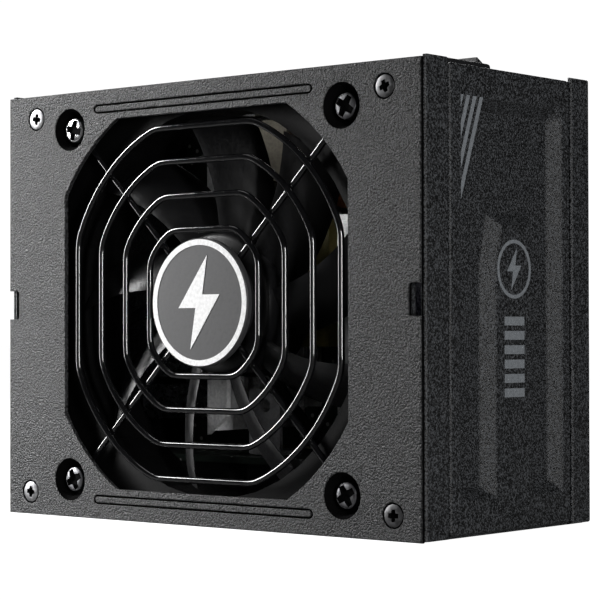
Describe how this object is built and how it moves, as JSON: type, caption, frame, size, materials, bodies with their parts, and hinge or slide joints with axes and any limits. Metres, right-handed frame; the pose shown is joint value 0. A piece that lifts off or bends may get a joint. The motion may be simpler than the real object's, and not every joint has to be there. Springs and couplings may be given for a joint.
{
  "type": "computer power supply unit",
  "caption": "Compact modular computer power supply: black steel case, caged intake fan, mains inlet with rocker switch, and output sockets.",
  "frame": {"origin": "bottom centre of the case, on the output socket panel's plane", "axes": "+Z towards the mains panel, -Y out of the fan face, +X towards the embossed side next to the mains inlet"},
  "size_m": [0.125, 0.0636, 0.1056],
  "materials": {
    "case_paint": "fine textured black powder coat",
    "screw_steel": "dark plated, satin",
    "grille_wire": "black plated wire, glossy",
    "badge_face": "printed face, satin",
    "fan_plastic": "black moulded",
    "inlet_plastic": "black moulded",
    "switch_plastic": "black moulded, satin",
    "contact_metal": "nickel plated",
    "shaft_steel": "ground",
    "bearing_bronze": "sintered",
    "magnet_black": "bonded ferrite",
    "copper_winding": "enamelled copper wire",
    "socket_plastic": "black moulded",
    "circuit_board": "dark solder mask",
    "insulator_film": "thin plastic film",
    "capacitor_sleeve": "shrink sleeve",
    "capacitor_can": "bright can",
    "transformer_tape": "ferrite core wrapped in yellow tape",
    "film_case": "moulded box of a film capacitor",
    "bracket_steel": "plated steel bracket",
    "heatsink_aluminium": "bare sheet"
  },
  "bodies": {
    "case": {"fan_cover": "case_paint", "shell_frame": "case_paint", "mains_panel": "case_paint", "output_panel": "case_paint", "side_cover_right": "case_paint", "side_cover_left": "case_paint", "back_cover": "case_paint", "fan_screw_1": "screw_steel", "fan_screw_2": "screw_steel", "fan_screw_3": "screw_steel", "fan_screw_4": "screw_steel", "case_screw_1": "screw_steel", "case_screw_2": "screw_steel", "case_screw_3": "screw_steel", "case_screw_4": "screw_steel", "fan_grille": "grille_wire", "grille_badge": "badge_face", "fan_frame": "fan_plastic", "inlet_body": "inlet_plastic", "switch_body": "switch_plastic", "inlet_pin_earth": "contact_metal", "inlet_pin_live": "contact_metal", "inlet_pin_neutral": "contact_metal", "fan_bearing": "bearing_bronze", "stator": "copper_winding", "filter_choke": "copper_winding", "socket_main_wide": "socket_plastic", "socket_main_narrow": "socket_plastic", "socket_power_1": "socket_plastic", "socket_power_2": "socket_plastic", "socket_power_3": "socket_plastic", "socket_power_4": "socket_plastic", "socket_drive_1": "socket_plastic", "socket_drive_2": "socket_plastic", "socket_drive_3": "socket_plastic", "main_board": "circuit_board", "socket_board": "circuit_board", "insulator_sheet": "insulator_film", "bulk_capacitor": "capacitor_sleeve", "output_capacitor_1": "capacitor_can", "output_capacitor_2": "capacitor_can", "output_capacitor_3": "capacitor_can", "transformer": "transformer_tape", "film_capacitor": "film_case", "board_bracket": "bracket_steel", "primary_heatsink": "heatsink_aluminium", "secondary_heatsink": "heatsink_aluminium"},
    "fan": {"fan_rotor": "fan_plastic", "fan_shaft": "shaft_steel", "magnet_ring": "magnet_black"},
    "rocker": {"switch_rocker": "switch_plastic"}
  },
  "joints": [
    {"name": "fan_spin", "type": "hinge", "parent": "case", "child": "fan", "pos_m": [0, -0.02175, 0.05], "axis": [0, -1, 0], "continuous": true},
    {"name": "rocker_tilt", "type": "hinge", "parent": "case", "child": "rocker", "pos_m": [0.042, 0.01695, 0.1009], "axis": [1, 0, 0], "range_deg": [0, 24]}
  ]
}
